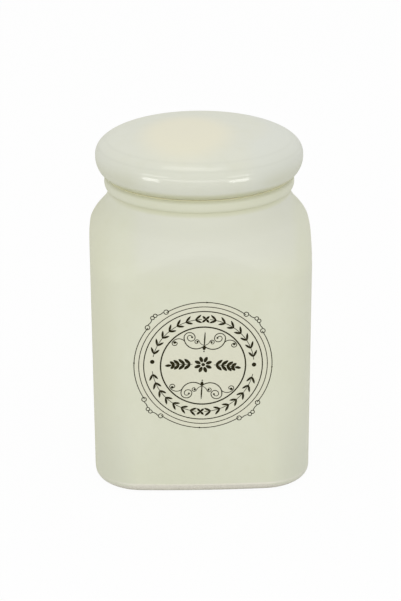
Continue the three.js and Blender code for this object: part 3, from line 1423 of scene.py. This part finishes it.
    def garland(self, pen: Pen) -> None:
        """Draws the right upper quarter of the garlands, from the bullet to the clasp.

        Args:
            pen: The pen to draw with.
        """
        start, turn = self.garland_start, self.garland_end - self.garland_start
        pen.arc((0.0, 0.0), self.band, self.stem, start, turn, self.ring_steps // 4)
        for i in range(self.garland_pairs):
            way = start + turn * (i + self.first_pair) / self.garland_pairs
            foot = (self.band * math.cos(way), self.band * math.sin(way))
            for side, share in ((-1, 1.0), (1, self.inner_leaf_share)):
                heading = way + QUARTER + side * self.leaf_lean
                pen.leaf(foot, heading, self.leaf_length * share / 2, self.leaf_width / 2)

    def clasps(self, pen: Pen) -> None:
        """Draws the bullets at the sides, and the rosettes where the garlands meet.

        Args:
            pen: The pen to draw with.
        """
        for side in (-1, 1):
            pen.bead((side * self.band, self.bullet_lift), self.bullet)
            place = (0.0, side * self.band)
            pen.bead(place, self.bead)
            for i in range(4):
                pen.leaf(place, (i + 0.5) * QUARTER, *self.clasp_leaf)

    def rosette(self, pen: Pen) -> None:
        """Draws the flower in the middle.

        Args:
            pen: The pen to draw with.
        """
        pen.bead((0.0, self.flower_lift), self.flower_heart)
        for i in range(self.petals):
            way = (i + 0.5) * FULL / self.petals
            foot = (
                self.petal_foot * math.cos(way),
                self.petal_foot * math.sin(way) + self.flower_lift,
            )
            pen.leaf(foot, way, *self.petal, self.petal_point)

    def sprig(self, pen: Pen) -> None:
        """Draws the right sprig beside the flower.

        Args:
            pen: The pen to draw with.
        """
        start, radius = self.sprig_start, self.sprig_radius
        low = self.flower_lift - radius
        pen.arc((start, low), radius, self.stem, QUARTER, self.sprig_turn, self.sprig_steps)
        for out, length in self.sprig_leaves:
            way = (out - start) / radius
            foot = (out, low + radius * math.cos(way))
            for side in (-1, 1):
                heading = side * self.sprig_lean - way
                pen.leaf(foot, heading, length / 2, self.sprig_width / 2, self.sprig_point)
        tip = (self.tip_place[0], self.tip_place[1] + self.flower_lift)
        pen.leaf(tip, self.tip_heading, *self.tip_leaf, self.sprig_point)

    def crest(self, pen: Pen) -> None:
        """Draws the right half of the scrolls above the flower, and the spine between them.

        Args:
            pen: The pen to draw with.
        """
        for foot, half_length, half_width, point in self.spine:
            pen.leaf((0.0, foot), QUARTER, half_length, half_width, point)
        pen.bead((0.0, self.spine_bead_height), self.spine_bead)
        for scroll in (self.volute, self.tendril, self.knot):
            pen.curl(scroll)

    def lay(self, bm: bmesh.types.BMesh, name: str, finish: bpy.types.Material) -> None:
        """Gives a flat drawing its thickness, lays it on the jar's front and puts it in the frame.

        Args:
            bm: The drawing, across and up.
            name: The piece's name.
            finish: The ink.
        """
        bmesh.ops.remove_doubles(bm, verts=bm.verts[:], dist=MERGE_DISTANCE)
        for face in bm.faces:
            face.normal_update()
        bmesh.ops.reverse_faces(bm, faces=[f for f in bm.faces if f.normal.z < 0])
        thickness = self.proud + self.sunk
        made = bmesh.ops.extrude_face_region(bm, geom=bm.faces[:])
        bmesh.ops.translate(bm, vec=(0, 0, thickness), verts=verts_of(made["geom"]))
        bmesh.ops.recalc_face_normals(bm, faces=bm.faces[:])
        turn = Matrix.Rotation(self.tilt, 3, "Z")
        body = self.jar.body_section(0.0, 0.0)
        for vert in bm.verts:
            flat = turn @ Vector((vert.co.x, vert.co.y, 0.0))
            across = flat.x + flat.y * self.lean
            up = flat.y * self.flattening + flat.x * self.lean
            depth = body.front(across) + self.sunk - vert.co.z
            vert.co = (across, depth, self.height + up)
        piece = finish_mesh(bm, name, finish)
        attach(piece, Part.JAR.value)
        report(piece)

    def dress(self) -> None:
        """Builds the badge in its ink, each drawing repeated over the axes that it names."""
        finish = InkFinish("fired ink").material()
        drawings = (
            ("badge_rings", self.rings, ""),
            ("badge_edging", self.edging, "XY"),
            ("badge_garlands", self.garland, "XY"),
            ("badge_clasps", self.clasps, ""),
            ("badge_rosette", self.rosette, ""),
            ("badge_sprigs", self.sprig, "X"),
            ("badge_crests", self.crest, "XY"),
        )
        for name, draw, mirrors in drawings:
            bm = bmesh.new()
            pen = Pen(bm)
            draw(pen)
            for axis in mirrors:
                pen.mirror(axis)
            self.lay(bm, name, finish)


def arc_points(
    middle: Place, across: float, up: float, start: float, end: float, steps: int
) -> list[Place]:
    """Returns points on part of an ellipse.

    Args:
        middle: The ellipse's middle.
        across: Its half width.
        up: Its half height.
        start: The angle it starts at.
        end: The angle it ends at.
        steps: How many steps lie between.

    Returns:
        The points, both ends included.
    """
    return [
        (middle[0] + across * math.cos(t), middle[1] + up * math.sin(t))
        for t in spread(start, end, steps)
    ]


@dataclass
class Lid:
    """The lid: crown, rim, seat, grooved plug and the hollow inside it."""

    jar: Jar
    seat_gap: float = 0.07 * MM
    radius: float = 51.4 * MM
    underside_height: float = 9.8 * MM
    underside_width: float = 7.6 * MM
    crown_height: float = 14.9 * MM
    flat_exponent: float = 2.64
    edge_exponent: float = 2.46
    plug_depth: float = 14 * MM
    plug_clearance: float = 2 * MM
    plug_wall: float = 5.4 * MM
    plug_edge_radius: float = 1.2 * MM
    arch_height: float = 11 * MM
    crown_thickness: float = 6.5 * MM
    groove_drop: float = 2.6 * MM
    groove_height: float = 8 * MM
    groove_depth: float = 2 * MM
    edge_softness: float = 0.25 * MM
    crown_steps: int = 72
    underside_steps: int = 40
    edge_steps: int = 6
    turn_steps: int = 192
    wave_height: float = 0.02 * MM
    peel_height: float = 0.001 * MM
    glaze: Colour = (0.684, 0.692, 0.588)
    light_glaze: Colour = (0.694, 0.702, 0.60)
    warm_glaze: Colour = (0.755, 0.728, 0.565)
    cool_glaze: Colour = (0.677, 0.692, 0.614)
    # Painted shade on the rim's lower part and at its lower sides.
    painted_shade_tone: Colour = (0.535, 0.54, 0.375)
    # Painted shade round the rim, and the dark rings of painted reflection on the crown's edge.
    painted_rim_shade: Colour = (0.56, 0.57, 0.487)

    @property
    def seat(self) -> float:
        """The height of the seat, just above the collar."""
        return self.jar.lip_height + self.seat_gap

    @property
    def plug_radius(self) -> float:
        """The plug's radius."""
        return self.jar.mouth_radius - self.plug_clearance

    @property
    def groove_top(self) -> float:
        """The height of the groove's upper face."""
        return self.seat - self.groove_drop

    @property
    def groove_bottom(self) -> float:
        """The height of the groove's lower face."""
        return self.groove_top - self.groove_height

    def dome(self, edge: float, radius: float, rise: float, steps: int) -> list[Place]:
        """Draws a dome's profile, flat in the middle and full at the edge.

        Args:
            edge: The height of its edge.
            radius: Its radius there.
            rise: How far it rises over its edge.
            steps: How many steps the profile has.

        Returns:
            The profile's points, from the edge to the axis.
        """
        return [
            (
                radius * max(math.cos(t), 0.0) ** (2 / self.flat_exponent),
                edge + rise * math.sin(t) ** (2 / self.edge_exponent),
            )
            for t in spread(0, QUARTER, steps)
        ]

    def profile(self) -> list[Place]:
        """Draws the lid's profile.

        Returns:
            The profile's points, from the hollow's ceiling round to the crown's middle.
        """
        rim = self.seat + self.underside_height
        hollow = self.plug_radius - self.plug_wall
        ceiling = rim + self.crown_height - self.crown_thickness
        edge, steps = self.plug_edge_radius, self.edge_steps
        edge_height = self.seat - self.plug_depth + edge
        springing = ceiling - self.arch_height
        arch = self.dome(springing, hollow, self.arch_height, self.crown_steps // 2)
        wide, high = self.underside_width, self.underside_height
        middle = (self.radius - wide, rim)
        underside = arc_points(middle, wide, high, -QUARTER, 0, self.underside_steps)
        inner, outer = (hollow + edge, edge_height), (self.plug_radius - edge, edge_height)
        return [
            *arch[::-1],
            *arc_points(inner, edge, edge, math.pi, 3 * QUARTER, steps),
            *arc_points(outer, edge, edge, -QUARTER, 0, steps),
            (self.plug_radius, self.groove_bottom),
            (self.plug_radius - self.groove_depth, self.groove_bottom),
            (self.plug_radius - self.groove_depth, self.groove_top),
            (self.plug_radius, self.groove_top),
            (self.plug_radius, self.seat),
            *underside[:-1],
            *self.dome(rim, self.radius, self.crown_height, self.crown_steps),
        ]

    def dress(self) -> bpy.types.Object:
        """Builds the lid in its glaze and puts it in the frame.

        Returns:
            The lid's object.
        """
        seat = self.seat
        finish = GlazeFinish(
            name="lid glaze",
            colour=self.glaze,
            light=self.light_glaze,
            wave_height=self.wave_height,
            peel_height=self.peel_height,
            tints=(
                Patch(
                    self.cool_glaze,
                    bottom=seat + 1 * MM,
                    top=seat + 23.5 * MM,
                    left=18 * MM,
                    bottom_fade=3 * MM,
                ),
                Bloom(self.warm_glaze, middle=(-6.5 * MM, -14 * MM), reach=22 * MM),
                # Painted reflection: narrow dark rings between the crown's mirrored strips.
                LevelBand(self.painted_rim_shade, middle=seat + 18.3 * MM, width=0.7 * MM, strength=0.15),
                LevelBand(self.painted_rim_shade, middle=seat + 15.0 * MM, width=0.9 * MM, strength=0.2),
                # Painted shade on the rim, round its widest part and below it.
                LevelBand(self.painted_rim_shade, middle=seat + 13.0 * MM, width=8.5 * MM, strength=0.25),
                LevelBand(self.painted_rim_shade, middle=seat + 5.0 * MM, width=7.0 * MM, strength=0.35),
                # Painted shade on the rim's lower sides.
                LevelBand(
                    self.painted_shade_tone,
                    middle=seat + 6.0 * MM,
                    width=7.5 * MM,
                    strength=0.42,
                    beyond=23 * MM,
                ),
                # Painted shade on the rim just above the seat.
                LevelBand(self.painted_shade_tone, middle=seat + 1.8 * MM, width=2.9 * MM, strength=1.0),
                # Painted light in the seam, on the lid's seat.
                LevelBand(self.jar.seam_light_tone, middle=seat, width=1.0 * MM, strength=1.0),
            ),
            bare_below=seat - self.plug_depth + 0.9 * MM,
        )
        bm = bmesh.new()
        draw_line(bm, self.profile())
        revolve(bm, self.turn_steps)
        soften_edges(bm, self.edge_softness)
        piece = finish_mesh(bm, "lid_shell", finish.material())
        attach(piece, Part.LID.value)
        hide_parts(Part.LID.value)
        report(piece)
        return piece


@dataclass
class SealRing:
    """The soft ring in the plug's groove: a band with leaning fins."""

    lid: Lid
    seat_gap: float = 0.3 * MM
    bore_gap: float = 0.35 * MM
    band: float = 1.9 * MM
    fin_root: float = 1.5 * MM
    fin_tip: float = 0.7 * MM
    fin_lean: float = 0.5 * MM
    fins: int = 3
    edge_softness: float = 0.12 * MM
    turn_steps: int = 180

    def profile(self) -> list[Place]:
        """Draws the ring's profile.

        Returns:
            The points of the profile, which ends where it began.
        """
        inner = self.lid.plug_radius - self.lid.groove_depth + self.seat_gap
        outer = inner + self.band
        low = self.lid.groove_bottom + self.seat_gap
        high = self.lid.groove_top - self.seat_gap
        tip = self.lid.jar.mouth_radius - self.bore_gap
        pitch = (high - low) / self.fins
        points = [(inner, low), (outer, low)]
        for fin in range(self.fins):
            middle = low + pitch * (fin + 0.5)
            points.append((outer, middle - self.fin_root / 2))
            points.append((tip, middle + self.fin_lean - self.fin_tip / 2))
            points.append((tip, middle + self.fin_lean + self.fin_tip / 2))
            points.append((outer, middle + self.fin_root / 2))
        return [*points, (outer, high), (inner, high), (inner, low)]

    def dress(self) -> None:
        """Builds the ring in its rubber and puts it in the frame."""
        bm = bmesh.new()
        draw_line(bm, self.profile())
        bmesh.ops.remove_doubles(bm, verts=bm.verts[:], dist=MERGE_DISTANCE)
        revolve(bm, self.turn_steps)
        soften_edges(bm, self.edge_softness)
        piece = finish_mesh(bm, "seal_fins", SiliconeFinish("milky silicone").material())
        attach(piece, Part.SEAL.value)
        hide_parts(Part.SEAL.value)
        report(piece)


@dataclass(frozen=True)
class Softbox:
    """A lamp with a flat glowing face, aimed at a point on the object.

    Its direction from there is a compass angle to the right of the front, and a height angle, both
    in degrees. A mirrored lamp is only seen in the gloss of one piece; any other one only lights.
    """

    name: str
    compass: float
    elevation: float
    size: Place
    radiance: float
    distance: float
    target: tuple[float, float, float] = (0.0, 0.0, 0.09)
    mirrored: bool = False

    def hang(self, mirror: bpy.types.Collection) -> None:
        """Puts the lamp in the scene.

        Args:
            mirror: The pieces that show a mirrored lamp.
        """
        lamp = bpy.data.lights.new(self.name, "AREA")
        lamp.shape = "RECTANGLE"
        lamp.size, lamp.size_y = self.size
        lamp.energy = self.radiance * math.pi * self.size[0] * self.size[1]
        level = math.cos(math.radians(self.elevation))
        compass = math.radians(self.compass)
        way = Vector(
            (
                math.sin(compass) * level,
                -math.cos(compass) * level,
                math.sin(math.radians(self.elevation)),
            )
        )
        holder = bpy.data.objects.new(self.name, lamp)
        bpy.context.scene.collection.objects.link(holder)
        holder.location = Vector(self.target) + way * self.distance
        holder.rotation_euler = way.to_track_quat("Z", "Y").to_euler()
        holder.visible_camera = False
        holder.visible_diffuse = not self.mirrored
        holder.visible_glossy = self.mirrored
        if self.mirrored:
            holder.light_linking.receiver_collection = mirror


@dataclass(frozen=True)
class Strip(Softbox):
    """A bright strip close to the lid's rim, which mirrors it."""

    distance: float = 0.423
    target: tuple[float, float, float] = (0.0, 0.0, 0.1594)
    mirrored: bool = True


@dataclass
class Studio:
    """The pale floor, the soft lamps, the surroundings and the camera."""

    shiny: bpy.types.Object
    floor_reach: float = 7.0
    floor_drop: float = 0.05 * MM
    floor_colour: Colour = (0.84, 0.84, 0.83)
    floor_steps: int = 96
    floor_shade: float = 0.97
    floor_cloud: float = 0.3
    floor_lift: float = 0.96
    surround: float = 0.79
    distance: float = 0.900
    target_height: float = 81.66 * MM
    target_across: float = 0.34 * MM
    tilt: float = math.radians(21.04)
    turn: float = math.radians(1.51)
    roll: float = math.radians(0.27)
    sensor: float = 36.0
    focal_share: float = 1.9595
    image_width: int = 401

    def seen(self, graph: Graph) -> Value:
        """Tells what the camera sees from what only lights the object.

        Args:
            graph: The graph of the floor or of the world.

        Returns:
            1 for what the camera sees, directly, mirrored or through something.
        """
        path = graph.node("ShaderNodeLightPath")
        names = ("Is Camera Ray", "Is Glossy Ray", "Is Transmission Ray")
        camera, gloss, through = (Value(graph, path.outputs[name]) for name in names)
        return graph.maths("MAXIMUM", graph.maths("MAXIMUM", camera, gloss), through)

    def floor(self) -> None:
        """Lays the pale floor, which keeps the object's shadow."""
        bm = bmesh.new()
        bmesh.ops.create_circle(
            bm, cap_ends=True, segments=self.floor_steps, radius=self.floor_reach
        )
        bmesh.ops.translate(bm, vec=(0, 0, -self.floor_drop), verts=bm.verts[:])
        material, graph = new_material("pale floor")
        paint = graph.noise(graph.place(), self.floor_cloud)
        shade = tuple(c * self.floor_shade for c in self.floor_colour)
        colour = graph.mix(paint, self.floor_colour, shade)
        matt = graph.node("ShaderNodeBsdfDiffuse", inputs={"Color": colour})
        glow = graph.node("ShaderNodeEmission", inputs={"Color": (1, 1, 1, 1), "Strength": 1.0})
        both = graph.blend(self.seen(graph) * self.floor_lift, matt, glow)
        graph.node("ShaderNodeOutputMaterial", inputs={"Surface": both.outputs[0]})
        finish_mesh(bm, "floor", material)

    def surroundings(self) -> None:
        """Makes the world white to look at, and a plain grey as a light."""
        world = bpy.data.worlds.new("studio")
        bpy.context.scene.world = world
        world.use_nodes = True
        graph = Graph(world.node_tree)
        grey = (self.surround, self.surround, self.surround, 1.0)
        light = graph.node("ShaderNodeBackground", inputs={"Color": grey, "Strength": 1.0})
        white = graph.node("ShaderNodeBackground", inputs={"Color": (1, 1, 1, 1), "Strength": 1.0})
        both = graph.blend(self.seen(graph), light, white)
        graph.node("ShaderNodeOutputWorld", inputs={"Surface": both.outputs[0]})

    def lamps(self) -> None:
        """Hangs the soft lamps, and the strips that the lid's rim mirrors."""
        mirror = bpy.data.collections.new("shiny pieces")
        mirror.objects.link(self.shiny)
        for box in (
            Softbox("overhead", 0.0, 80.0, (1.8, 1.4), 0.33, distance=1.3),
            Softbox("front", 0.0, 25.0, (2.4, 1.8), 0.47, distance=2.2),
            Softbox("low front", -18.0, 5.0, (1.2, 0.25), 2.9, distance=1.6),
            Softbox("right", 65.0, 22.0, (1.8, 1.4), 0.12, distance=2.0),
            Strip("left strip", -52.2, -10.3, (0.134, 0.07), 5.2),
            Strip("right strip", 40.0, -10.3, (0.16, 0.07), 5.2),
            Strip("middle strip", -7.0, -5.0, (0.6, 0.07), 1.6),
            Strip("left upper strip", -48.0, 9.5, (0.22, 0.06), 2.3),
            Strip("right upper strip", 40.0, 11.3, (0.18, 0.06), 2.3),
            Strip("top strip", -16.6, 71.0, (0.34, 0.14), 1.35, distance=0.43),
        ):
            box.hang(mirror)

    def camera(self) -> None:
        """Sets the camera at the photograph's place."""
        across = Vector((math.cos(self.turn), -math.sin(self.turn), 0.0))
        back = Vector((-math.sin(self.turn), -math.cos(self.turn), 0.0))
        target = across * self.target_across + Vector((0, 0, self.target_height))
        away = back * math.cos(self.tilt) + Vector((0, 0, math.sin(self.tilt)))
        lens = bpy.data.cameras.new("camera")
        lens.sensor_fit = "HORIZONTAL"
        lens.sensor_width = self.sensor
        focal_pixels = self.focal_share * self.distance / MM
        lens.lens = focal_pixels * self.sensor / self.image_width
        holder = bpy.data.objects.new("camera", lens)
        bpy.context.scene.collection.objects.link(holder)
        facing = away.to_track_quat("Z", "Y").to_matrix() @ Matrix.Rotation(-self.roll, 3, "Z")
        holder.matrix_world = Matrix.Translation(target + away * self.distance) @ facing.to_4x4()
        bpy.context.scene.camera = holder

    def build(self) -> None:
        """Builds everything round the object."""
        bpy.context.scene.view_settings.view_transform = "Standard"
        self.floor()
        self.surroundings()
        self.lamps()
        self.camera()


def main() -> None:
    """Builds the object's parts in order, and the studio round them."""
    logging.basicConfig(level=logging.INFO, format="%(name)s %(message)s")
    jar = Jar()
    badge = Badge(jar)
    lid = Lid(jar)
    seal = SealRing(lid)
    jar.dress(badge)
    badge.dress()
    shiny = lid.dress()
    seal.dress()
    Studio(shiny).build()
    log.info("all pieces are in place")


if __name__ == "__main__":
    main()
